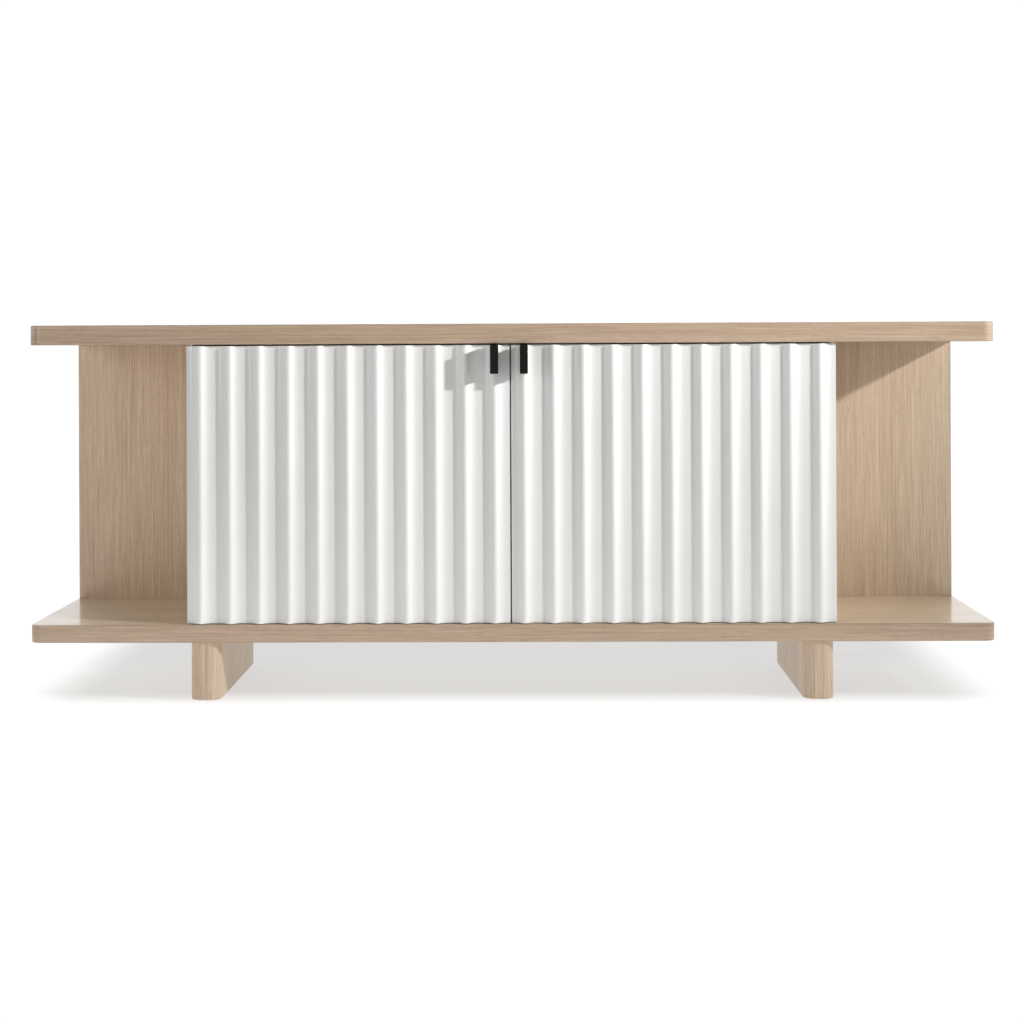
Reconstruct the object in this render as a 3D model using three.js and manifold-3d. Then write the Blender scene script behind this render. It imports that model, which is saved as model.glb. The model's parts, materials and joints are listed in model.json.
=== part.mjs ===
// Media cabinet: two long slabs with rounded corners, open bays at both ends, and a middle block
// closed by two fluted doors that turn on pivot pins between the slabs. Two plank legs carry it.
// Millimetres, +X to the right, -Y to the front, +Z up. The origin is the bottom centre of the whole.

import * as THREE from "three";
import { mergeVertices } from "three/addons/utils/BufferGeometryUtils.js";
import Module from "manifold-3d";

const wasm = await Module();
wasm.setup();

// ---------------------------------------------------------------- driving dimensions

const WIDTH = 1950;
const SLAB_DEPTH = 457;
const BOTTOM_THICK = 36;
const TOP_THICK = 40;
const OPENING = 566;
const SLAB_CORNER = 24;
const REAR_CORNER = 4;
const SLAB_EASE = 1.5;

const LEG_HEIGHT = 120;
const LEG_THICK = 62;
const LEG_CORNER = 25;
const LEG_SETBACK = 6;
const LEG_X = 620;
const GLIDE_HEIGHT = 3;

const PANEL_THICK = 22;
const SIDE_INSET = 2.5;
const BACK_THICK = 18;
const BACK_FROM_FRONT = 413;
const BACK_END_INSET = 2;

const DOOR_BLOCK = 1312;
const DOOR_GAP = 3;
const DOOR_TOP_GAP = 3;
const DOOR_BOTTOM_GAP = 1.5;
const DOOR_SETBACK = 0;
const DOOR_TO_PANEL = 4;
const CORE_THICK = 20;
const FLUTED_THICK = 18;

const FLUTE_PITCH = 59.6;
const FLUTE_CHORD = 50;
const FLUTE_DEPTH = 10;
const FLUTE_BEND = 3;
const FIRST_RIDGE = 28;
const FLUTE_STEPS = 8;

const HANDLE_WIDTH = 16;
const HANDLE_HEIGHT = 58;
const HANDLE_PROJECTION = 30;
const HANDLE_RIDGE = 10;

const PIVOT_INSET = 8;
const PIN_RADIUS = 2.5;
const FIT_GAP = 0.3;

const SHELF_THICK = 20;
const SHELF_DEPTH = 320;
const SHELF_Z = 428;
const PIN_ROW_PITCH = 32;
const PIN_ROWS = [-2, -1, 0, 1, 2];

const GROMMET_RADIUS = 30;
const GROMMET_WALL = 3;
const GROMMET_LIP = 5;

// ---------------------------------------------------------------- places worked out from them

const HANDLE_OVERHANG = HANDLE_PROJECTION - DOOR_SETBACK;
const SLAB_FRONT = -(SLAB_DEPTH + HANDLE_OVERHANG) / 2 + HANDLE_OVERHANG;
const SLAB_BACK = SLAB_FRONT + SLAB_DEPTH;
const SLAB_MIDDLE = (SLAB_FRONT + SLAB_BACK) / 2;
const FLOOR_Z = LEG_HEIGHT + BOTTOM_THICK;
const CEILING_Z = FLOOR_Z + OPENING;

const RIDGE_Y = SLAB_FRONT + DOOR_SETBACK;
const CORE_Y = RIDGE_Y + FLUTED_THICK;
const DOOR_BACK = CORE_Y + CORE_THICK;
const DOOR_OUTER_X = DOOR_BLOCK / 2;
const DOOR_INNER_X = DOOR_GAP / 2;
const DOOR_BOTTOM = FLOOR_Z + DOOR_BOTTOM_GAP;
const DOOR_TOP = CEILING_Z - DOOR_TOP_GAP;

const PANEL_FRONT = DOOR_BACK + DOOR_TO_PANEL;
const BACK_Y = SLAB_FRONT + BACK_FROM_FRONT;
const SIDE_OUTER_X = DOOR_OUTER_X - SIDE_INSET;
const SIDE_INNER_X = SIDE_OUTER_X - PANEL_THICK;
const HALF_PARTITION = PANEL_THICK / 2;

const PIVOT_X = DOOR_OUTER_X - PIVOT_INSET;
const PIVOT_Y = DOOR_BACK - PIVOT_INSET;
const SIDES = { left: -1, right: 1 };

// ---------------------------------------------------------------- materials

const oak = { color: 0xc4a98a, roughness: 0.45, metalness: 0 };
const oakCore = { color: 0xa98765, roughness: 0.6, metalness: 0 };
const white = { color: 0xf1f1ec, roughness: 0.35, metalness: 0 };
const black = { color: 0x151413, roughness: 0.4, metalness: 0.6 };
const steel = { color: 0xa9abad, roughness: 0.3, metalness: 1 };
const nylon = { color: 0x2a2927, roughness: 0.6, metalness: 0 };
const rubber = { color: 0xd8d6d0, roughness: 0.5, metalness: 0 };

const cabinet = new THREE.Group();

/** Adds one named piece to the cabinet. */
function add(name, geometry, finish) {
  const piece = new THREE.Mesh(geometry, new THREE.MeshStandardMaterial(finish));
  piece.name = name;
  cabinet.add(piece);
}

// ---------------------------------------------------------------- shapes and cuts

/** A box between two opposite corners, in any order. */
function block([x0, y0, z0], [x1, y1, z1]) {
  const box = new THREE.BoxGeometry(Math.abs(x1 - x0), Math.abs(y1 - y0), Math.abs(z1 - z0));
  return box.translate((x0 + x1) / 2, (y0 + y1) / 2, (z0 + z1) / 2);
}

/** A rectangle centred on the origin, with round front corners and nearly square rear ones. */
function roundedOutline(width, depth, front, rear) {
  const outline = new THREE.Shape();
  const corners = [[1, 1, rear], [-1, 1, rear], [-1, -1, front], [1, -1, front]];
  corners.forEach(([right, back, radius], turn) => {
    const start = (turn * Math.PI) / 2;
    const x = right * (width / 2 - radius);
    const y = back * (depth / 2 - radius);
    outline.absarc(x, y, radius, start, start + Math.PI / 2);
  });
  return outline;
}

/** A plank lying flat, with round front corners and a small ease along its top and bottom edges. */
function plank(width, depth, height, corner, ease) {
  const size = [width - 2 * ease, depth - 2 * ease];
  const outline = roundedOutline(...size, corner - ease, REAR_CORNER - ease);
  const options = { depth: height - 2 * ease, bevelThickness: ease, bevelSize: ease, bevelSegments: 1 };
  return new THREE.ExtrudeGeometry(outline, { ...options, curveSegments: 8 }).translate(0, 0, ease);
}

/** A solid turned round the vertical axis, from [radius, height] pairs that start and end on it. */
function turned(profile, segments = 16) {
  const points = profile.map(([radius, height]) => new THREE.Vector2(radius, height));
  return new THREE.LatheGeometry(points, segments).rotateX(Math.PI / 2);
}

/** A plain rod along +Z that starts at the origin. */
function rod(radius, length, segments = 16) {
  return turned([[0, 0], [radius, 0], [radius, length], [0, length]], segments);
}

/** A screw or bolt along +Z: its shank starts at the origin and its head is on top. */
function bolt(shankRadius, shankLength, headRadius, headHeight) {
  const top = shankLength + headHeight;
  const shank = [[0, 0], [shankRadius, 0], [shankRadius, shankLength]];
  return turned([...shank, [headRadius, shankLength], [headRadius, top], [0, top]], 12);
}

/** A manifold solid with the shape of a three.js geometry. */
function toSolid(geometry) {
  const bare = new THREE.BufferGeometry();
  bare.setAttribute("position", geometry.getAttribute("position").clone());
  if (geometry.index) bare.setIndex(geometry.index.clone());
  const merged = mergeVertices(bare, 1e-4);
  const corners = merged.index.array;
  const triangles = [];
  for (let i = 0; i < corners.length; i += 3) {
    const [a, b, c] = corners.slice(i, i + 3);
    if (a !== b && b !== c && c !== a) triangles.push(a, b, c);
  }
  const vertProperties = new Float32Array(merged.getAttribute("position").array);
  const triVerts = new Uint32Array(triangles);
  return new wasm.Manifold(new wasm.Mesh({ numProp: 3, vertProperties, triVerts }));
}

/** The three.js geometry of a manifold solid. */
function toGeometry(solid) {
  const mesh = solid.getMesh();
  const geometry = new THREE.BufferGeometry();
  geometry.setAttribute("position", new THREE.BufferAttribute(new Float32Array(mesh.vertProperties), 3));
  geometry.setIndex(new THREE.BufferAttribute(new Uint32Array(mesh.triVerts), 1));
  geometry.computeVertexNormals();
  return geometry;
}

/** Cuts a list of tool geometries out of a geometry. */
function cut(geometry, tools) {
  let solid = toSolid(geometry);
  for (const tool of tools) solid = solid.subtract(toSolid(tool));
  return toGeometry(solid);
}

/** Joins two geometries into one body. */
function join(first, second) {
  return toGeometry(toSolid(first).add(toSolid(second)));
}

// ---------------------------------------------------------------- legs, glides and bolts

const LEG_DEPTH = SLAB_DEPTH - 2 * LEG_SETBACK;
const BOLT_SPREAD = 260;
const BOLT = { shank: 4, head: 7, headHeight: 5, recess: 7, grip: 45 };
const boltPlaces = [-1, 1].map((end) => SLAB_MIDDLE + (end * BOLT_SPREAD) / 2);
const glidePlaces = { front: SLAB_MIDDLE - 180, rear: SLAB_MIDDLE + 180 };

/** The hole of a leg bolt through the bottom slab: shank, and a recess that hides its head. */
function boltHole(x, y) {
  const shank = rod(BOLT.shank + FIT_GAP, BOTTOM_THICK + 2, 12).translate(x, y, LEG_HEIGHT - 1);
  const recess = rod(BOLT.head + 1, BOLT.recess + 1).translate(x, y, FLOOR_Z - BOLT.recess);
  return [shank, recess];
}

for (const [side, sign] of Object.entries(SIDES)) {
  const x = sign * LEG_X;
  const legLow = GLIDE_HEIGHT;
  const leg = plank(LEG_THICK, LEG_DEPTH, LEG_HEIGHT - legLow, LEG_CORNER, 1);
  leg.translate(x, SLAB_MIDDLE, legLow);
  const sockets = boltPlaces.map((y) =>
    rod(BOLT.shank + FIT_GAP, BOLT.grip + 6, 12).translate(x, y, LEG_HEIGHT - BOLT.grip - 5));
  const stems = Object.values(glidePlaces).map((y) => rod(2.3, 15, 12).translate(x, y, legLow - 1));
  add(`leg_${side}`, cut(leg, [...sockets, ...stems]), oak);

  for (const [end, y] of Object.entries(glidePlaces)) {
    const glide = turned([[0, 0], [12, 0], [13, GLIDE_HEIGHT], [2, GLIDE_HEIGHT], [2, 14], [0, 14]]);
    add(`leg_glide_${side}_${end}`, glide.translate(x, y, 0), nylon);
  }
  boltPlaces.forEach((y, index) => {
    const length = BOLT.grip + BOTTOM_THICK - BOLT.recess;
    const screw = bolt(BOLT.shank, length, BOLT.head, BOLT.headHeight);
    screw.translate(x, y, LEG_HEIGHT - BOLT.grip);
    add(`leg_bolt_${side}_${index ? "rear" : "front"}`, screw, steel);
  });
}

// ---------------------------------------------------------------- pivot hardware

const PLATE = { length: 60, width: 14, thick: 3 };
const PIN_LENGTH = 9;

/** A flat hardware plate that starts at the outer end of a door and runs inwards. */
function pivotStrip(sign, low, high, grow = 0) {
  const outer = sign * (DOOR_OUTER_X - 1 + grow);
  const inner = sign * (DOOR_OUTER_X - 1 - PLATE.length - grow);
  const reach = PLATE.width / 2 + grow;
  return block([outer, PIVOT_Y - reach, low], [inner, PIVOT_Y + reach, high]);
}

/** Heights of a pivot: the slab's face, the way into the slab, and the door's edge. */
const pivotEnds = {
  top: { slab: CEILING_Z, inward: 1, door: DOOR_TOP },
  bottom: { slab: FLOOR_Z, inward: -1, door: DOOR_BOTTOM },
};

/** The slab plate with its pin, flush with the slab's face. */
function pivotPlate(sign, { slab, inward }) {
  const strip = pivotStrip(sign, slab, slab + inward * PLATE.thick);
  const low = inward > 0 ? slab - PIN_LENGTH : slab - PLATE.thick / 2;
  const pin = rod(PIN_RADIUS, PIN_LENGTH + PLATE.thick / 2).translate(sign * PIVOT_X, PIVOT_Y, low);
  return join(strip, pin);
}

/** The leaf let into a door's edge, with the hole that turns on the pin. */
function pivotLeaf(sign, { door, inward }) {
  const strip = pivotStrip(sign, door, door - inward * PLATE.thick);
  const hole = rod(PIN_RADIUS + FIT_GAP, 20).translate(sign * PIVOT_X, PIVOT_Y, door - 10);
  return cut(strip, [hole]);
}

/** What the slab loses for a plate. */
function slabPocket(sign, { slab, inward }) {
  return pivotStrip(sign, slab - inward, slab + inward * (PLATE.thick + FIT_GAP), FIT_GAP);
}

/** What the door core loses for a leaf and for the end of the pin. */
function corePockets(sign, { door, inward }) {
  const pocket = pivotStrip(sign, door + inward, door - inward * (PLATE.thick + FIT_GAP), FIT_GAP);
  const pinHole = rod(PIN_RADIUS + FIT_GAP, 20).translate(sign * PIVOT_X, PIVOT_Y, door - 10);
  return [pocket, pinHole];
}

for (const [side, sign] of Object.entries(SIDES)) {
  for (const [end, place] of Object.entries(pivotEnds)) {
    add(`pivot_plate_${side}_${end}`, pivotPlate(sign, place), steel);
    add(`pivot_leaf_${side}_${end}`, pivotLeaf(sign, place), steel);
  }
}

// ---------------------------------------------------------------- slabs

const slabTools = (place) => Object.values(SIDES).map((sign) => slabPocket(sign, place));
const boltHoles = Object.values(SIDES).flatMap((sign) =>
  boltPlaces.flatMap((y) => boltHole(sign * LEG_X, y)));

const topSlab = plank(WIDTH, SLAB_DEPTH, TOP_THICK, SLAB_CORNER, SLAB_EASE);
topSlab.translate(0, SLAB_MIDDLE, CEILING_Z);
add("top_slab", cut(topSlab, slabTools(pivotEnds.top)), oak);

const bottomSlab = plank(WIDTH, SLAB_DEPTH, BOTTOM_THICK, SLAB_CORNER, SLAB_EASE);
bottomSlab.translate(0, SLAB_MIDDLE, LEG_HEIGHT);
add("bottom_slab", cut(bottomSlab, [...slabTools(pivotEnds.bottom), ...boltHoles]), oak);

// ---------------------------------------------------------------- panels and shelves

const SHELF_FRONT = PANEL_FRONT + 12;
const SHELF_BACK = SHELF_FRONT + SHELF_DEPTH;
const PIN_DEPTH = 8;
const PIN_REACH = 9;
const PIN_Z = SHELF_Z - PIN_RADIUS;
const pinColumns = { front: SHELF_FRONT + 37, rear: SHELF_BACK - 37 };

/** A row of shelf pin holes from `x0` to `x1` at every column and height. */
function pinHoles(x0, x1) {
  const holes = [];
  for (const y of Object.values(pinColumns)) {
    for (const row of PIN_ROWS) {
      const hole = rod(PIN_RADIUS + FIT_GAP, Math.abs(x1 - x0), 10).rotateY(Math.PI / 2);
      holes.push(hole.translate(Math.min(x0, x1), y, PIN_Z + row * PIN_ROW_PITCH));
    }
  }
  return holes;
}

for (const [side, sign] of Object.entries(SIDES)) {
  const inner = sign * SIDE_INNER_X;
  const outer = sign * SIDE_OUTER_X;
  const panel = block([inner, PANEL_FRONT, FLOOR_Z], [outer, BACK_Y, CEILING_Z]);
  add(`side_panel_${side}`, cut(panel, pinHoles(inner - sign, inner + sign * (PIN_DEPTH + 1))), oak);

  const backEnd = sign * (WIDTH / 2 - BACK_END_INSET);
  const back = block([inner, BACK_Y, FLOOR_Z], [backEnd, BACK_Y + BACK_THICK, CEILING_Z]);
  add(`back_panel_${side}`, back, oak);

  const near = sign * (HALF_PARTITION + 1);
  const far = sign * (SIDE_INNER_X - 1);
  const shelf = block([near, SHELF_FRONT, SHELF_Z], [far, SHELF_BACK, SHELF_Z + SHELF_THICK]);
  add(`shelf_${side}`, shelf, oak);

  const pinWalls = { outer: [inner, sign], inner: [sign * HALF_PARTITION, -sign] };
  for (const [wall, [x, into]] of Object.entries(pinWalls)) {
    for (const [column, y] of Object.entries(pinColumns)) {
      const low = Math.min(x + into * PIN_DEPTH, x - into * PIN_REACH);
      const pin = rod(PIN_RADIUS, PIN_DEPTH + PIN_REACH, 12).rotateY(Math.PI / 2);
      add(`shelf_pin_${side}_${wall}_${column}`, pin.translate(low, y, PIN_Z), steel);
    }
  }
}

const partition = block([-HALF_PARTITION, PANEL_FRONT, FLOOR_Z], [HALF_PARTITION, BACK_Y, CEILING_Z]);
add("center_partition", cut(partition, pinHoles(-HALF_PARTITION - 1, HALF_PARTITION + 1)), oak);

// ---------------------------------------------------------------- centre back panel and grommets

const grommetPlaces = { left: [-320, 240], right: [320, 240] };
const throughBack = (radius, [x, z]) =>
  rod(radius, BACK_THICK + 4, 24).rotateX(-Math.PI / 2).translate(x, BACK_Y - 2, z);

const backCenter = block([-SIDE_INNER_X, BACK_Y, FLOOR_Z], [SIDE_INNER_X, BACK_Y + BACK_THICK, CEILING_Z]);
const grommetHoles = Object.values(grommetPlaces).map((place) => throughBack(GROMMET_RADIUS, place));
add("back_panel_center", cut(backCenter, grommetHoles), oak);

/** A flanged ring through the back panel, with its flange on the panel's inside face. */
function grommet([x, z]) {
  const outer = GROMMET_RADIUS - FIT_GAP;
  const inner = outer - GROMMET_WALL;
  const lip = GROMMET_RADIUS + GROMMET_LIP;
  const tube = BACK_THICK + 1;
  const profile = [[inner, -2], [lip, -2], [lip, -FIT_GAP], [outer, -FIT_GAP], [outer, tube], [inner, tube]];
  return turned([...profile, profile[0]], 24).rotateX(-Math.PI / 2).translate(x, BACK_Y, z);
}

for (const [side, place] of Object.entries(grommetPlaces)) {
  add(`cable_grommet_${side}`, grommet(place), nylon);
}

// ---------------------------------------------------------------- doors

const ridgeX = (index) => -DOOR_OUTER_X + FIRST_RIDGE + index * FLUTE_PITCH;

/** How far the fluted face lies behind the ridges at x: 0 on a ridge, FLUTE_DEPTH in mid flute. */
function fluteDepth(x) {
  const pitches = (x - ridgeX(0)) / FLUTE_PITCH;
  const fromMiddle = (pitches - Math.floor(pitches) - 0.5) * FLUTE_PITCH;
  const aside = Math.min(1, Math.abs(fromMiddle) / (FLUTE_CHORD / 2));
  return FLUTE_DEPTH * (1 - aside ** FLUTE_BEND);
}

/** The fluted face between two door edges, as [x, y] points from left to right. */
function flutedFace(left, right) {
  const points = [[left, fluteDepth(left)]];
  for (let ridge = 0; ridgeX(ridge) - FLUTE_PITCH < right; ridge += 1) {
    const start = ridgeX(ridge) - FLUTE_PITCH / 2 - FLUTE_CHORD / 2;
    for (let step = 0; step <= FLUTE_STEPS; step += 1) {
      const x = start + (step / FLUTE_STEPS) * FLUTE_CHORD;
      if (x > left + 1 && x < right - 1) points.push([x, fluteDepth(x)]);
    }
  }
  points.push([right, fluteDepth(right)]);
  return points.map(([x, depth]) => [x, RIDGE_Y + depth]);
}

/** The white panel of a door: fluted in front, flat behind. */
function flutedPanel(left, right) {
  const outline = [...flutedFace(left, right), [right, CORE_Y], [left, CORE_Y]];
  const shape = new THREE.Shape(outline.map(([x, y]) => new THREE.Vector2(x, y)));
  const panel = new THREE.ExtrudeGeometry(shape, { depth: DOOR_TOP - DOOR_BOTTOM, bevelEnabled: false });
  return panel.translate(0, 0, DOOR_BOTTOM);
}

const SCREW = { shank: 2, head: 4, headHeight: 2, recess: 3, grip: 10 };
const handleBottom = DOOR_TOP - HANDLE_HEIGHT;
const screwHeights = { lower: handleBottom + 13, upper: DOOR_TOP - 13 };

/** A rod along -Y whose near end is at `y`. */
function rodForward(radius, length, x, y, z) {
  return rod(radius, length, 12).rotateX(Math.PI / 2).translate(x, y, z);
}

/** The holes of the two handle screws, with the recess for each head in the door's back. */
function screwHoles(x) {
  return Object.values(screwHeights).flatMap((z) => [
    rodForward(SCREW.shank + FIT_GAP, FLUTED_THICK + CORE_THICK + 2, x, DOOR_BACK + 1, z),
    rodForward(SCREW.head + 0.5, SCREW.recess + 1, x, DOOR_BACK + 1, z),
  ]);
}

/** The tab handle: a solid bar with eased edges and two blind screw holes in its back. */
function handle(x) {
  const ease = 1;
  const bar = new THREE.Shape();
  const halfWidth = HANDLE_WIDTH / 2 - ease;
  bar.moveTo(-halfWidth, ease).lineTo(halfWidth, ease);
  bar.lineTo(halfWidth, HANDLE_PROJECTION - ease).lineTo(-halfWidth, HANDLE_PROJECTION - ease);
  const options = { depth: HANDLE_HEIGHT - 2 * ease, bevelThickness: ease, bevelSize: ease };
  const geometry = new THREE.ExtrudeGeometry(bar, { ...options, bevelSegments: 2 });
  geometry.translate(x, RIDGE_Y - HANDLE_PROJECTION, handleBottom + ease);
  const holes = Object.values(screwHeights).map((z) =>
    rodForward(SCREW.shank + FIT_GAP, SCREW.grip + 3, x, RIDGE_Y + 1, z));
  return cut(geometry, holes);
}

const CATCH = { width: 14, depth: 44, height: 12, proud: 2 };
const STRIKE = { width: 14, height: 34, thick: 1.5 };
const doorEdges = {
  left: [-DOOR_OUTER_X, -DOOR_INNER_X],
  right: [DOOR_INNER_X, DOOR_OUTER_X],
};
const handleX = { left: ridgeX(HANDLE_RIDGE), right: ridgeX(HANDLE_RIDGE + 1) };

for (const [side, sign] of Object.entries(SIDES)) {
  const [left, right] = doorEdges[side];
  const holes = screwHoles(handleX[side]);
  const core = block([left, CORE_Y, DOOR_BOTTOM], [right, DOOR_BACK, DOOR_TOP]);
  const pockets = Object.values(pivotEnds).flatMap((place) => corePockets(sign, place));
  add(`door_core_${side}`, cut(core, [...pockets, ...holes]), oakCore);
  add(`door_fluted_panel_${side}`, cut(flutedPanel(left, right), holes), white);
  add(`handle_${side}`, handle(handleX[side]), black);

  for (const [level, z] of Object.entries(screwHeights)) {
    const shank = FLUTED_THICK + CORE_THICK - SCREW.recess + SCREW.grip;
    const screw = bolt(SCREW.shank, shank, SCREW.head, SCREW.headHeight).rotateX(-Math.PI / 2);
    add(`handle_screw_${side}_${level}`, screw.translate(handleX[side], RIDGE_Y - SCREW.grip, z), steel);
  }

  const catchX = sign * (HALF_PARTITION + CATCH.width / 2);
  const catchTop = CEILING_Z - 1;
  const catchFront = PANEL_FRONT - CATCH.proud;
  const half = CATCH.width / 2;
  const catchBox = block([catchX - half, catchFront, catchTop - CATCH.height],
    [catchX + half, catchFront + CATCH.depth, catchTop]);
  add(`magnet_catch_${side}`, catchBox, nylon);
  const strikeX = catchX - STRIKE.width / 2;
  const strikeTop = DOOR_TOP - 1;
  const strike = block([strikeX, DOOR_BACK, strikeTop - STRIKE.height],
    [strikeX + STRIKE.width, DOOR_BACK + STRIKE.thick, strikeTop]);
  add(`strike_plate_${side}`, strike, steel);

  for (const [level, z] of Object.entries({ lower: DOOR_BOTTOM + 30, upper: DOOR_TOP - 70 })) {
    const bumper = turned([[0, 0], [4, 0], [4, 2], [2.5, 3.5], [0, 3.5]], 12).rotateX(-Math.PI / 2);
    add(`door_bumper_${side}_${level}`, bumper.translate(sign * 6.5, DOOR_BACK, z), rubber);
  }
}

export default cabinet;
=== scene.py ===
"""Media cabinet: finished surfaces, materials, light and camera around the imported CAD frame.

Metres, +X to the right, -Y to the front, +Z up.
"""

import json
import math

import bmesh
import bpy
from mathutils import Matrix, Vector


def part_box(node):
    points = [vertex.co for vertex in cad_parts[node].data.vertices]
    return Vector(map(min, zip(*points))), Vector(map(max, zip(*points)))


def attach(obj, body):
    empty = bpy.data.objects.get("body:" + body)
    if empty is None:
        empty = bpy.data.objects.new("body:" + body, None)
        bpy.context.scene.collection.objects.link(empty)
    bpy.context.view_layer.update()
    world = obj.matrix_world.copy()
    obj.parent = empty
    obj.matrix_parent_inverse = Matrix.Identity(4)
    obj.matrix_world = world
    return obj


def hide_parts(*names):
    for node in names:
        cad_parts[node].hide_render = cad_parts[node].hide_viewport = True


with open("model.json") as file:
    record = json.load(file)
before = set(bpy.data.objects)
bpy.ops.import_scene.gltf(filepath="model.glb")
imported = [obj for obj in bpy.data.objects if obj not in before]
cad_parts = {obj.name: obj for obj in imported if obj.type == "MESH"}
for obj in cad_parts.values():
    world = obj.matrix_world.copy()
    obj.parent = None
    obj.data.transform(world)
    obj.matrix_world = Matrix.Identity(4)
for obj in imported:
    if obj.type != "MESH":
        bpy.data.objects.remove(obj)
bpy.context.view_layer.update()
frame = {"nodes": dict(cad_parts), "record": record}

MM = 0.001
WHITE = (1.0, 1.0, 1.0, 1.0)

# ---------------------------------------------------------------- camera

CAMERA_AT = (0.0624, -4.0492, 0.7194)
CAMERA_YAW = math.radians(0.75)
CAMERA_ROLL = math.radians(-0.256)
CAMERA_LENS = 66.95
SENSOR_WIDTH = 36.0
CAMERA_SHIFT = (-0.0041, -0.1635)


def make_camera():
    data = bpy.data.cameras.new("camera")
    data.lens = CAMERA_LENS
    data.sensor_width = SENSOR_WIDTH
    data.shift_x, data.shift_y = CAMERA_SHIFT
    camera = bpy.data.objects.new("camera", data)
    turn = Matrix.Rotation(CAMERA_YAW, 4, "Z") @ Matrix.Rotation(math.radians(90), 4, "X")
    turn = turn @ Matrix.Rotation(CAMERA_ROLL, 4, "Z")
    camera.matrix_world = Matrix.Translation(CAMERA_AT) @ turn
    bpy.context.scene.collection.objects.link(camera)
    bpy.context.scene.camera = camera


# ---------------------------------------------------------------- node helpers


def node(tree, kind, inputs=None, **settings):
    """A new node with its settings, and its inputs set to values or linked to sockets."""
    made = tree.nodes.new(kind)
    for key, value in settings.items():
        setattr(made, key, value)
    for key, value in (inputs or {}).items():
        if isinstance(value, bpy.types.NodeSocket):
            tree.links.new(value, made.inputs[key])
        else:
            made.inputs[key].default_value = value
    return made


def calc(tree, operation, a, b=0.0):
    return node(tree, "ShaderNodeMath", {0: a, 1: b}, operation=operation).outputs[0]


def distance(tree, x, y):
    squares = [calc(tree, "MULTIPLY", side, side) for side in (x, y)]
    return calc(tree, "SQRT", calc(tree, "ADD", *squares))


def remap(tree, value, low, high, to_low=0.0, to_high=1.0):
    inputs = {"Value": value, "From Min": low, "From Max": high, "To Min": to_low, "To Max": to_high}
    return node(tree, "ShaderNodeMapRange", inputs).outputs[0]


def noise(tree, vector, stretch, detail=2.0, roughness=0.5):
    """Noise over a vector in metres; stretch is its features per metre along each axis."""
    scaled = node(tree, "ShaderNodeMapping", {"Vector": vector, "Scale": stretch}).outputs[0]
    inputs = {"Vector": scaled, "Scale": 1.0, "Detail": detail, "Roughness": roughness}
    return node(tree, "ShaderNodeTexNoise", inputs).outputs[0]


def mixed(tree, factor, a, b):
    made = node(tree, "ShaderNodeMix", {0: factor}, data_type="RGBA")
    for index, colour in ((6, a), (7, b)):
        if isinstance(colour, bpy.types.NodeSocket):
            tree.links.new(colour, made.inputs[index])
        else:
            made.inputs[index].default_value = (*colour, 1.0)
    return made.outputs[2]


def new_material(name, **uniform):
    """A material with one Principled shader; uniform sets its sockets that don't vary."""
    material = bpy.data.materials.new(name)
    material.use_nodes = True
    tree = material.node_tree
    tree.nodes.clear()
    shader = node(tree, "ShaderNodeBsdfPrincipled")
    for key, value in uniform.items():
        shader.inputs[key.replace("_", " ")].default_value = value
    node(tree, "ShaderNodeOutputMaterial", {"Surface": shader.outputs[0]})
    return material, tree, shader


def object_vector(tree):
    return node(tree, "ShaderNodeTexCoord").outputs["Object"]


def bump(tree, shader, height, distance, strength=1.0):
    inputs = {"Height": height, "Distance": distance, "Strength": strength}
    made = node(tree, "ShaderNodeBump", inputs)
    tree.links.new(made.outputs[0], shader.inputs["Normal"])


# ---------------------------------------------------------------- materials

OAK_LIGHT = (0.71, 0.545, 0.405)
OAK_DARK = (0.43, 0.315, 0.22)
OAK_PORE = (0.31, 0.22, 0.155)
COAT_ROUGHNESS = 0.12
GRAIN_SWAY = 0.020
BAND_SHARE = 0.18
STREAK_SHARE = 0.42
HAIR_SHARE = 0.40
PORE_SHARE = 0.35
ROUGH_SPREAD = 0.06

# How much lighter or darker the oak of each board is drawn than the plain oak; two of these tones
# are painted light, as noted at each.
PANEL_TONE = (1.25, 1.27, 1.27)
# Painted shade: the right back panel is the same veneer drawn darker and less red, where the key
# light falls hardest.
RIGHT_BACK_PAINTED_SHADE = (1.08, 1.14, 1.16)
LEG_TONE = (0.97, 0.97, 0.95)
BAND_TONE = (0.82, 0.79, 0.765)
# Painted sheen: the flat faces of the slabs are drawn lighter and paler than the oak, standing in
# for light and reflection on them; the edge band takes the darker tone above.
FACE_PAINTED_SHEEN = (1.30, 1.47, 1.54)
CORE_TONE = (0.62, 0.62, 0.62)
PLAIN_TONE = (1.0, 1.0, 1.0)


def grain_vector(tree, along):
    """Metres, with the grain along X, from the mesh's grain layer or from one of its axes."""
    if along == "layer":
        return node(tree, "ShaderNodeAttribute", attribute_name="grain").outputs["Vector"]
    parts = node(tree, "ShaderNodeSeparateXYZ", {0: object_vector(tree)}).outputs
    order = {"X": (0, 1, 2), "Z": (2, 0, 1)}[along]
    return node(tree, "ShaderNodeCombineXYZ", {i: parts[k] for i, k in enumerate(order)}).outputs[0]


def toned(colour, tone):
    return tuple(c * t for c, t in zip(colour, tone))


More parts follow.
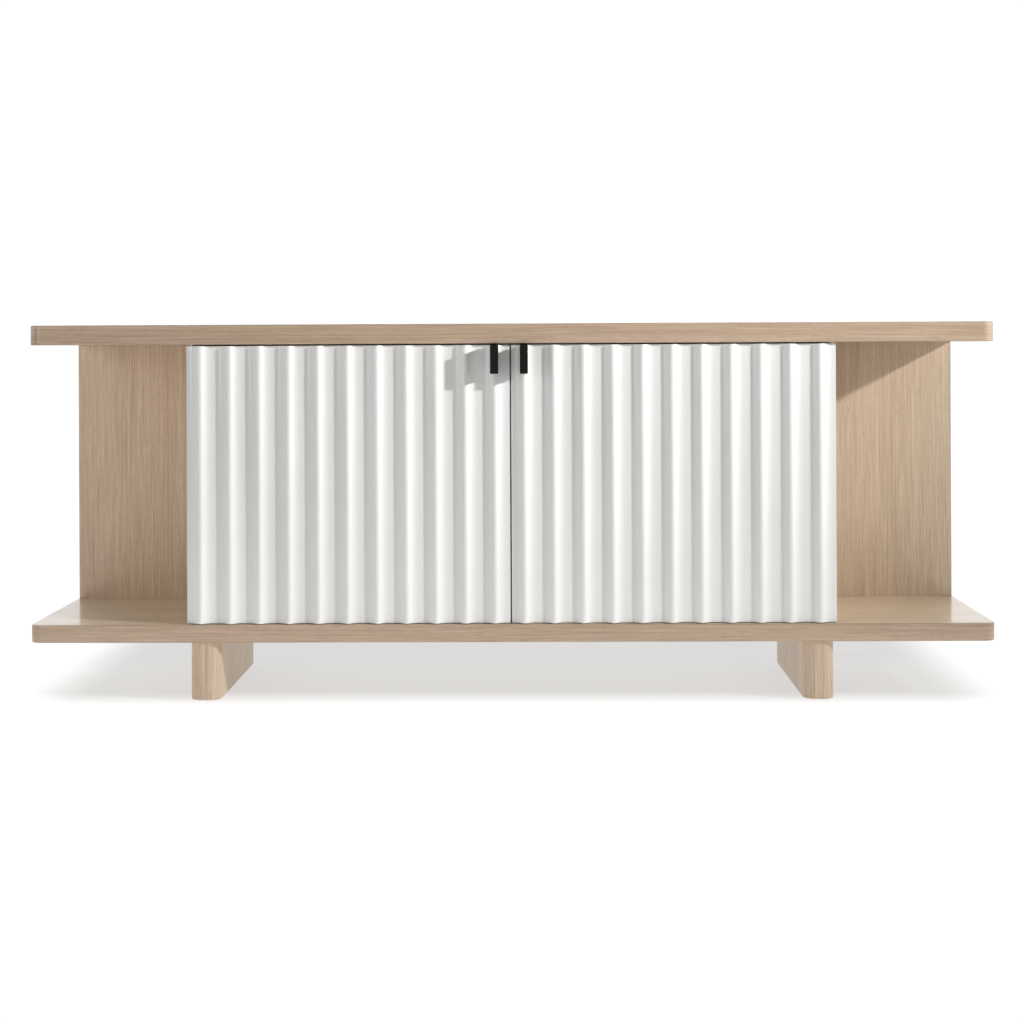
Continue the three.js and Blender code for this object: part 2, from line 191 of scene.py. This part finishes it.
def oak(name, along, tone=PLAIN_TONE, coat=0.6):
    """Rift-cut oak veneer under satin lacquer: soft bands, fine streaks and short open pores."""
    material, tree, shader = new_material(
        name, Coat_Weight=coat, Coat_Roughness=COAT_ROUGHNESS, Coat_IOR=1.5, IOR=1.45)
    straight = grain_vector(tree, along)
    sway = noise(tree, straight, (0.8, 3.0, 3.0), detail=1.0)
    aside = calc(tree, "MULTIPLY", calc(tree, "SUBTRACT", sway, 0.5), GRAIN_SWAY)
    drift = node(tree, "ShaderNodeCombineXYZ", {1: aside, 2: aside}).outputs[0]
    vector = node(tree, "ShaderNodeVectorMath", {0: straight, 1: drift}).outputs[0]

    bands = noise(tree, vector, (0.5, 20.0, 20.0))
    streaks = noise(tree, vector, (2.5, 300.0, 300.0), detail=3.0, roughness=0.65)
    hairs = noise(tree, vector, (9.0, 650.0, 650.0), detail=1.0)
    pores = remap(tree, noise(tree, vector, (55.0, 1400.0, 1400.0), detail=0.0), 0.60, 0.70)

    figure = calc(tree, "MULTIPLY", bands, BAND_SHARE)
    figure = calc(tree, "ADD", figure, calc(tree, "MULTIPLY", streaks, STREAK_SHARE))
    figure = calc(tree, "ADD", figure, calc(tree, "MULTIPLY", hairs, HAIR_SHARE))
    lightness = remap(tree, figure, 0.34, 0.66)
    colour = mixed(tree, lightness, toned(OAK_DARK, tone), toned(OAK_LIGHT, tone))
    pore_shade = calc(tree, "MULTIPLY", pores, PORE_SHARE)
    colour = mixed(tree, pore_shade, colour, toned(OAK_PORE, tone))
    # On the slabs, the flat faces get a painted sheen, lighter and paler, against the darker edge
    # band.
    if along == "layer":
        band = node(tree, "ShaderNodeAttribute", attribute_name="band").outputs["Fac"]
        painted_sheen_tint = mixed(tree, band, FACE_PAINTED_SHEEN, BAND_TONE)
        product = node(tree, "ShaderNodeVectorMath", {0: colour, 1: painted_sheen_tint}, operation="MULTIPLY")
        colour = product.outputs[0]
    tree.links.new(colour, shader.inputs["Base Color"])

    satin = remap(tree, figure, 0.3, 0.7, 0.46, 0.36)
    rough = calc(tree, "ADD", satin, calc(tree, "MULTIPLY", pores, 0.15))
    tree.links.new(rough, shader.inputs["Roughness"])
    height = calc(tree, "SUBTRACT", calc(tree, "MULTIPLY", hairs, 0.4), pores)
    bump(tree, shader, height, 0.00006, 0.6)
    return material


def white_lacquer():
    """Sprayed satin lacquer: a trace of orange peel and a slightly uneven warm white."""
    material, tree, shader = new_material(
        "white_lacquer", Coat_Weight=0.8, Coat_Roughness=COAT_ROUGHNESS, IOR=1.5)
    vector = object_vector(tree)
    cloud = noise(tree, vector, (7.0, 7.0, 3.0), detail=3.0)
    colour = mixed(tree, remap(tree, cloud, 0.3, 0.7), (0.755, 0.75, 0.725), (0.795, 0.795, 0.775))
    tree.links.new(colour, shader.inputs["Base Color"])
    peel = noise(tree, vector, (330.0, 330.0, 330.0), detail=2.0)
    tree.links.new(remap(tree, peel, 0.3, 0.7, 0.30, 0.42), shader.inputs["Roughness"])
    bump(tree, shader, peel, 0.00003, 0.25)
    return material


def black_metal():
    """Powder-coated steel: near black with a fine grain."""
    material, tree, shader = new_material("black_metal", Specular_IOR_Level=0.22, IOR=1.5)
    vector = object_vector(tree)
    grain = noise(tree, vector, (1500.0, 1500.0, 1500.0), detail=2.0)
    colour = mixed(tree, remap(tree, grain, 0.3, 0.7), (0.003, 0.003, 0.003), (0.010, 0.009, 0.008))
    tree.links.new(colour, shader.inputs["Base Color"])
    tree.links.new(remap(tree, grain, 0.3, 0.7, 0.32, 0.46), shader.inputs["Roughness"])
    bump(tree, shader, grain, 0.00004, 0.5)
    return material


def steel():
    """Zinc-plated steel, brushed along X, with a cloudy plating."""
    material, tree, shader = new_material("steel", Metallic=1.0)
    vector = object_vector(tree)
    cloud = noise(tree, vector, (60.0, 60.0, 60.0), detail=3.0)
    brushed = noise(tree, vector, (80.0, 2500.0, 2500.0), detail=2.0)
    colour = mixed(tree, remap(tree, cloud, 0.3, 0.7), (0.52, 0.52, 0.53), (0.68, 0.68, 0.67))
    tree.links.new(colour, shader.inputs["Base Color"])
    tree.links.new(remap(tree, brushed, 0.3, 0.7, 0.22, 0.42), shader.inputs["Roughness"])
    bump(tree, shader, brushed, 0.00002, 0.4)
    return material


def moulded(name, dark, light, rough, **uniform):
    """Moulded plastic or rubber with a fine spark-eroded grain."""
    material, tree, shader = new_material(name, **uniform)
    grain = noise(tree, object_vector(tree), (1800.0, 1800.0, 1800.0), detail=2.0)
    colour = mixed(tree, remap(tree, grain, 0.3, 0.7), dark, light)
    tree.links.new(colour, shader.inputs["Base Color"])
    varied = remap(tree, grain, 0.3, 0.7, rough - ROUGH_SPREAD, rough + ROUGH_SPREAD)
    tree.links.new(varied, shader.inputs["Roughness"])
    bump(tree, shader, grain, 0.00005, 0.6)
    return material


# ---------------------------------------------------------------- mesh helpers

WELD_DISTANCE = 0.002 * MM
FLAT_ANGLE = math.radians(0.3)
EASED_ANGLE = math.radians(40)

RECORD = frame["record"]
SLOT_OF = {part["node"]: part["material_slot"] for part in RECORD["subparts"]}
BODY_OF = {n: body for body, nodes in RECORD["behaviour"]["bodies"].items() for n in nodes}


def finish_piece(node_name, mesh, material, sharp=35.0):
    """The shown piece of a CAD node: smooth where it is round, and on the node's body."""
    mesh.materials.clear()
    mesh.materials.append(material)
    mesh.polygons.foreach_set("use_smooth", [True] * len(mesh.polygons))
    mesh.set_sharp_from_angle(angle=math.radians(sharp))
    piece = bpy.data.objects.new(f"{node_name}_finished", mesh)
    bpy.context.scene.collection.objects.link(piece)
    normals = piece.modifiers.new("even_shading", "WEIGHTED_NORMAL")
    normals.keep_sharp = True
    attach(piece, BODY_OF[node_name])
    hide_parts(node_name)
    return piece


def cad_bmesh(node_name):
    """The CAD node's shape with shared corners and whole flat faces instead of triangles."""
    source = frame["nodes"][node_name].data
    mesh = bpy.data.meshes.new(node_name)
    faces = [list(p.vertices) for p in source.polygons]
    mesh.from_pydata([v.co for v in source.vertices], [], faces)
    shape = bmesh.new()
    shape.from_mesh(mesh)
    bpy.data.meshes.remove(mesh)
    bmesh.ops.remove_doubles(shape, verts=shape.verts, dist=WELD_DISTANCE)
    bmesh.ops.dissolve_limit(shape, angle_limit=FLAT_ANGLE, verts=shape.verts, edges=shape.edges)
    return shape


def ease_edges(shape, size, steps=2, shortest=4 * MM):
    """Rounds the sharp edges of a shape, apart from those too short to take it."""
    chosen = []
    for edge in shape.edges:
        if not edge.is_manifold or edge.calc_length() <= shortest:
            continue
        if edge.calc_face_angle(0.0) > EASED_ANGLE:
            chosen.append(edge)
    bmesh.ops.bevel(shape, geom=chosen, offset=size, segments=steps, profile=0.5,
                    affect="EDGES", clamp_overlap=True)


def to_mesh(shape, name):
    """The finished mesh of a shape, with its many-sided faces split into triangles."""
    bmesh.ops.recalc_face_normals(shape, faces=shape.faces)
    bmesh.ops.triangulate(shape, faces=[f for f in shape.faces if len(f.verts) > 4])
    mesh = bpy.data.meshes.new(name)
    shape.to_mesh(mesh)
    shape.free()
    return mesh


def board(node_name, material, ease=0.6 * MM):
    """A CAD board with its edges eased."""
    shape = cad_bmesh(node_name)
    if ease:
        ease_edges(shape, ease)
    return finish_piece(node_name, to_mesh(shape, node_name), material)


# ---------------------------------------------------------------- slabs

SLAB_CORNER = 24 * MM
# Each slab, its edge band and its rear edge take their veneer from places this far apart.
SLAB_PLACES_APART = 3
BAND_PLACE = 5.0


def perimeter(x, y, half_x, half_y):
    """Distance along the edge band from the middle of the front, for a point on a slab's side."""
    straight = half_x - SLAB_CORNER
    side = math.copysign(1.0, x)
    past_x = abs(x) - straight
    past_y = -y - (half_y - SLAB_CORNER)
    if past_x > 0 and past_y > 0:
        return side * (straight + SLAB_CORNER * math.atan2(past_x, past_y))
    if past_x > 0:
        return side * (straight + SLAB_CORNER * math.pi / 2 - past_y)
    return x


def slab(node_name, material):
    """A slab whose grain runs along its faces and round its edge band."""
    shape = cad_bmesh(node_name)
    mesh = to_mesh(shape, node_name)
    lo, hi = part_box(node_name)
    centre, half = (lo + hi) / 2, (hi - lo) / 2
    layer = mesh.attributes.new("grain", "FLOAT_VECTOR", "CORNER")
    band = mesh.attributes.new("band", "FLOAT", "FACE")
    for face in mesh.polygons:
        flat = abs(face.normal.z) > 0.9
        rear = face.normal.y > 0.7
        band.data[face.index].value = 0.0 if flat else 1.0
        for loop in face.loop_indices:
            at = mesh.vertices[mesh.loops[loop].vertex_index].co
            if flat:
                along, across, depth = at.x, at.y + SLAB_PLACES_APART * centre.z, 0.0
            else:
                run = at.x if rear else perimeter(at.x - centre.x, at.y - centre.y, half.x, half.y)
                along, across, depth = run + BAND_PLACE, at.z, 2.0 if rear else 1.0
            layer.data[loop].vector = (along, across, depth)
    return finish_piece(node_name, mesh, material, sharp=60.0)


# ---------------------------------------------------------------- fluted door panels

FLUTE_PITCH = 59.6 * MM
FLUTE_CHORD = 50 * MM
FIRST_RIDGE = 28 * MM
FLUTE_DEPTH = 10 * MM
FLUTE_BEND = 3.0
RIDGE_CROWN = 1.4 * MM
PANEL_EASE = 0.8 * MM
FLUTE_STEPS = 18
RIDGE_STEPS = 8
MOST_FLUTES = 14


def sagitta_radius(chord, rise):
    return (chord**2 / 4 + rise**2) / (2 * rise)


def flute_depth(x, first_ridge):
    """How far the fluted face lies behind the ridge crowns at x."""
    pitches = (x - first_ridge) / FLUTE_PITCH
    from_middle = (pitches - math.floor(pitches) - 0.5) * FLUTE_PITCH
    aside = abs(from_middle) / (FLUTE_CHORD / 2)
    if aside <= 1.0:
        return FLUTE_DEPTH - (FLUTE_DEPTH - RIDGE_CROWN) * aside**FLUTE_BEND
    from_crown = FLUTE_PITCH / 2 - abs(from_middle)
    radius = sagitta_radius(FLUTE_PITCH - FLUTE_CHORD, RIDGE_CROWN)
    return radius - math.sqrt(radius**2 - from_crown**2)


def flute_stations(left, right, first_ridge):
    """The x of every profile point, from the panel's left edge to its right edge."""
    stations = [left]
    ridge_half = (FLUTE_PITCH - FLUTE_CHORD) / 2
    first = math.floor((left - first_ridge) / FLUTE_PITCH)
    for index in range(first, first + MOST_FLUTES):
        ridge = first_ridge + index * FLUTE_PITCH
        for step in range(RIDGE_STEPS):
            stations.append(ridge - ridge_half + 2 * ridge_half * step / RIDGE_STEPS)
        for step in range(FLUTE_STEPS):
            stations.append(ridge + ridge_half + FLUTE_CHORD * step / FLUTE_STEPS)
    inside = [x for x in stations[1:] if left + PANEL_EASE < x < right - PANEL_EASE]
    return [left, *inside, right]


def inset_loop(points, size):
    """A closed outline moved inwards; the outline runs anticlockwise."""
    moved = []
    for index, here in enumerate(points):
        before = (here - points[index - 1]).normalized()
        after = (points[(index + 1) % len(points)] - here).normalized()
        inward = Vector((-before.y - after.y, before.x + after.x)).normalized()
        lean = max(0.5, inward.dot(Vector((-after.y, after.x))))
        moved.append(here + inward * (size / lean))
    return moved


def fluted_panel(node_name, first_ridge, material):
    """The white door panel, swept from its fluted outline, with eased ends."""
    lo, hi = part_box(node_name)
    stations = flute_stations(lo.x, hi.x, first_ridge)
    front = [Vector((x, lo.y + flute_depth(x, first_ridge))) for x in stations]
    outline = [*front, Vector((hi.x, hi.y)), Vector((lo.x, hi.y))]
    levels = []
    for step in (0, 1, 2):
        turn = math.pi / 4 * step
        levels.append((PANEL_EASE * (1 - math.sin(turn)), PANEL_EASE * (1 - math.cos(turn))))
    shape = bmesh.new()
    rings = []
    for inset, rise in levels:
        rings.append([shape.verts.new((*p, lo.z + rise)) for p in inset_loop(outline, inset)])
    for inset, rise in reversed(levels):
        rings.append([shape.verts.new((*p, hi.z - rise)) for p in inset_loop(outline, inset)])
    for low, high in zip(rings, rings[1:]):
        for i in range(len(low)):
            j = (i + 1) % len(low)
            shape.faces.new((low[i], low[j], high[j], high[i]))
    shape.faces.new(reversed(rings[0]))
    shape.faces.new(rings[-1])
    return finish_piece(node_name, to_mesh(shape, node_name), material, sharp=50.0)


# ---------------------------------------------------------------- turned hardware


def eased(profile, size, steps=3):
    """A profile with its inner corners rounded."""
    out = [profile[0]]
    for before, here, after in zip(profile, profile[1:], profile[2:]):
        a, b, c = Vector(before), Vector(here), Vector(after)
        reach = min(size, (a - b).length / 2, (c - b).length / 2)
        start, end = b + (a - b).normalized() * reach, b + (c - b).normalized() * reach
        for step in range(steps + 1):
            t = step / steps
            out.append(tuple((1 - t) ** 2 * start + 2 * t * (1 - t) * b + t**2 * end))
    return [*out, profile[-1]]


def turned(node_name, axis, from_high, profile, material, segments=40, ring=False):
    """A turned piece in a CAD node's box; its profile is radius and height from one end, in mm."""
    lo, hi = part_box(node_name)
    centre = (lo + hi) / 2
    along = Vector([1.0 if k == axis else 0.0 for k in "XYZ"])
    start = hi if from_high else lo
    origin = centre + along * along.dot(start - centre)
    direction = -along if from_high else along
    across = direction.orthogonal().normalized()
    third = direction.cross(across)
    shape = bmesh.new()
    rows = []
    for radius, height in profile:
        middle = origin + direction * height * MM
        if radius < 1e-6:
            rows.append([shape.verts.new(middle)])
            continue
        row = []
        for step in range(segments):
            turn = 2 * math.pi * step / segments
            aside = across * math.cos(turn) + third * math.sin(turn)
            row.append(shape.verts.new(middle + aside * radius * MM))
        rows.append(row)
    pairs = list(zip(rows, rows[1:]))
    if ring:
        pairs.append((rows[-1], rows[0]))
    for low, high in pairs:
        for i in range(segments):
            j = (i + 1) % segments
            low_pair = [low[i % len(low)], low[j % len(low)]]
            high_pair = [high[j % len(high)], high[i % len(high)]]
            shape.faces.new(list(dict.fromkeys(low_pair + high_pair)))
    return finish_piece(node_name, to_mesh(shape, node_name), material)


# ---------------------------------------------------------------- the cabinet


def build_cabinet():
    finishes = {
        "layer": oak("oak_veneer_slab", "layer"),
        "X": oak("oak_veneer_long", "X"),
        "Z": oak("oak_veneer_panel", "Z", PANEL_TONE),
        # painted shade: the right back panel's veneer, drawn darker than the other panels
        "right_back_painted_shade": oak("oak_veneer_right_back", "Z", RIGHT_BACK_PAINTED_SHADE),
        "leg": oak("oak_veneer_leg", "Z", LEG_TONE, 0.15),
        "core": oak("oak_core", "Z", CORE_TONE),
        "white": white_lacquer(),
        "black": black_metal(),
        "steel": steel(),
        "plastic": moulded("black_nylon", (0.018, 0.018, 0.018), (0.034, 0.033, 0.032), 0.5),
        "rubber": moulded("clear_rubber", (0.60, 0.59, 0.56), (0.72, 0.71, 0.68), 0.35,
                          Subsurface_Weight=0.3, Subsurface_Radius=(0.003, 0.003, 0.003)),
    }
    for name in frame["nodes"]:
        dress(name, finishes)


# Half outlines of the turned pieces: radius and height in millimetres.
BOLT_PROFILE = [(0, 0), (7, 0), (7, 5), (4, 5), (4, 79), (0, 79)]
SCREW_PROFILE = [(0, 0), (4, 0), (4, 2), (2, 2), (2, 47), (0, 47)]
PIN_PROFILE = [(0, 0), (2.5, 0), (2.5, 17), (0, 17)]
GLIDE_PROFILE = [(0, 0), (12, 0), (13, 3), (2, 3), (2, 14), (0, 14)]
BUMPER_PROFILE = [(0, 0), (4, 0), (4, 2), (2.5, 3.5), (0, 3.5)]
GROMMET_PROFILE = [(26.7, 0), (35, 0), (35, 1.7), (29.7, 1.7), (29.7, 21), (26.7, 21)]


def dress(name, finishes):
    """Makes the finished piece of one CAD node."""
    first_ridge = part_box("door_core_left")[0].x + FIRST_RIDGE
    if name.endswith("_slab"):
        slab(name, finishes["layer"])
    elif name.startswith("shelf_pin"):
        turned(name, "X", False, eased(PIN_PROFILE, 0.6), finishes["steel"], 24)
    elif name.startswith("shelf"):
        board(name, finishes["X"])
    elif name.startswith("door_fluted"):
        fluted_panel(name, first_ridge, finishes["white"])
    elif name.startswith("door_core"):
        board(name, finishes["core"], 0.4 * MM)
    elif name.startswith("handle_screw"):
        turned(name, "Y", True, eased(SCREW_PROFILE, 0.5), finishes["steel"], 32)
    elif name.startswith("handle"):
        board(name, finishes["black"], 0)
    elif name.startswith("leg_bolt"):
        turned(name, "Z", True, eased(BOLT_PROFILE, 0.8), finishes["steel"])
    elif name.startswith("leg_glide"):
        turned(name, "Z", False, eased(GLIDE_PROFILE, 0.6), finishes["plastic"])
    elif name.startswith("leg"):
        board(name, finishes["leg"], 0)
    elif name.startswith("door_bumper"):
        turned(name, "Y", False, eased(BUMPER_PROFILE, 0.8), finishes["rubber"], 32)
    elif name.startswith("cable_grommet"):
        rounded = eased([*GROMMET_PROFILE, GROMMET_PROFILE[0]], 0.7)[:-1]
        turned(name, "Y", False, rounded, finishes["plastic"], 64, ring=True)
    elif name.startswith("magnet_catch"):
        board(name, finishes["plastic"], 0.8 * MM)
    # The right back panel takes the darker copy of the veneer, painted shade where the key light
    # falls.
    elif name == "back_panel_right":
        board(name, finishes["right_back_painted_shade"])
    elif SLOT_OF[name] == "steel":
        board(name, finishes["steel"], 0.3 * MM)
    else:
        board(name, finishes["Z"])


# ---------------------------------------------------------------- floor and light

KEY_AT = (2.97, -1.5, 1.76)
KEY_AIM = (0.2, -0.2, 0.95)
KEY_SIZE = 0.15
KEY_SPREAD = 50.0
KEY_POWER = 10.0
FILL_AT = (-2.5, -3.0, 1.2)
FILL_AIM = (-0.5, 0.0, 0.4)
FILL_SIZE = 1.5
FILL_POWER = 15.0
SURROUND = 0.21
SIDE_WALL = 1.5
BACK_WALL = 1.3
SWEEP = 0.5
SEEN_WHITE = 1.05
FLOOR_GREY = 0.22
FLOOR_MOTTLE = 0.01
# Painted shadow: the floor glows dimmer within a box of these half sizes round its middle, under the
# cabinet, and brightens to the open glow over the fade width.
PAINTED_SHADOW_GLOW = 0.58
OPEN_GLOW = 1.0
FLOOR_REACH = 1.9
EDGE_FADE = 0.4
PAINTED_SHADOW_FADE = 0.22
FLOOR_AT = (0.0, 0.25, -0.0003)
PAINTED_SHADOW_HALF = (0.86, 0.345)


def make_floor():
    """Pale glowing paper under the cabinet that fades into the white studio sweep around it; its
    glow is dimmer in a box under the cabinet, a painted shadow with a soft edge.
    """
    mesh = bpy.data.meshes.new("floor")
    reach = FLOOR_REACH
    corners = [(-reach, -reach, 0), (reach, -reach, 0), (reach, reach, 0), (-reach, reach, 0)]
    mesh.from_pydata(corners, [], [(0, 1, 2, 3)])
    floor = bpy.data.objects.new("floor", mesh)
    floor.location = FLOOR_AT
    bpy.context.scene.collection.objects.link(floor)
    material, tree, shader = new_material("floor_paper", Roughness=0.9, Specular_IOR_Level=0.1)
    fibres = noise(tree, object_vector(tree), (140.0, 140.0, 140.0), detail=2.0)
    low, high = FLOOR_GREY - FLOOR_MOTTLE, FLOOR_GREY + FLOOR_MOTTLE
    colour = mixed(tree, fibres, (low, low, low), (high, high, high))
    tree.links.new(colour, shader.inputs["Base Color"])
    shader.inputs["Emission Color"].default_value = WHITE
    parts = node(tree, "ShaderNodeSeparateXYZ", {0: object_vector(tree)}).outputs
    # How far a point lies outside the painted shadow's box.
    beyond = []
    for i in (0, 1):
        past = calc(tree, "SUBTRACT", calc(tree, "ABSOLUTE", parts[i]), PAINTED_SHADOW_HALF[i])
        beyond.append(calc(tree, "MAXIMUM", past))
    away = distance(tree, *beyond)
    # Painted shadow: the glow is dimmest inside the box and rises to the open glow beyond it.
    glow = remap(tree, away, 0.0, PAINTED_SHADOW_FADE, PAINTED_SHADOW_GLOW, OPEN_GLOW)
    glow.node.interpolation_type = "SMOOTHSTEP"
    tree.links.new(glow, shader.inputs["Emission Strength"])
    fade = remap(tree, distance(tree, parts[0], parts[1]), reach - EDGE_FADE, reach, 1.0, 0.0)
    tree.links.new(fade, shader.inputs["Alpha"])
    mesh.materials.append(material)


def make_world():
    """A soft studio surround: dim, with bright back and side walls; the camera sees plain white."""
    world = bpy.data.worlds.new("studio")
    bpy.context.scene.world = world
    world.use_nodes = True
    tree = world.node_tree
    tree.nodes.clear()
    direction = node(tree, "ShaderNodeTexCoord").outputs["Generated"]
    towards = node(tree, "ShaderNodeSeparateXYZ", {0: direction}).outputs
    back = remap(tree, towards[1], 0.3, 0.9, SURROUND, BACK_WALL)
    sideways = calc(tree, "ABSOLUTE", towards[0])
    sides = remap(tree, sideways, 0.75, 0.97, SURROUND, SIDE_WALL)
    wall = calc(tree, "MAXIMUM", back, sides)
    below = remap(tree, towards[2], -0.02, 0.0, 1.0, 0.0)
    light = node(tree, "ShaderNodeMix", {0: below, 2: wall, 3: SWEEP}, data_type="FLOAT").outputs[0]
    sky = node(tree, "ShaderNodeBackground", {"Color": WHITE, "Strength": light})
    seen = node(tree, "ShaderNodeBackground", {"Color": WHITE, "Strength": SEEN_WHITE})
    path = node(tree, "ShaderNodeLightPath")
    both = node(tree, "ShaderNodeMixShader",
                {0: path.outputs["Is Camera Ray"], 1: sky.outputs[0], 2: seen.outputs[0]})
    node(tree, "ShaderNodeOutputWorld", {"Surface": both.outputs[0]})


def add_light(name, at, aim, size, power, spread=180.0):
    data = bpy.data.lights.new(name, "AREA")
    data.shape = "DISK"
    data.size = size
    data.energy = power
    data.spread = math.radians(spread)
    light = bpy.data.objects.new(name, data)
    light.location = at
    light.rotation_euler = (Vector(aim) - Vector(at)).to_track_quat("-Z", "Y").to_euler()
    bpy.context.scene.collection.objects.link(light)


make_camera()
build_cabinet()
make_floor()
make_world()
add_light("key", KEY_AT, KEY_AIM, KEY_SIZE, KEY_POWER, KEY_SPREAD)
add_light("fill", FILL_AT, FILL_AIM, FILL_SIZE, FILL_POWER)
bpy.context.scene.view_settings.view_transform = "Standard"
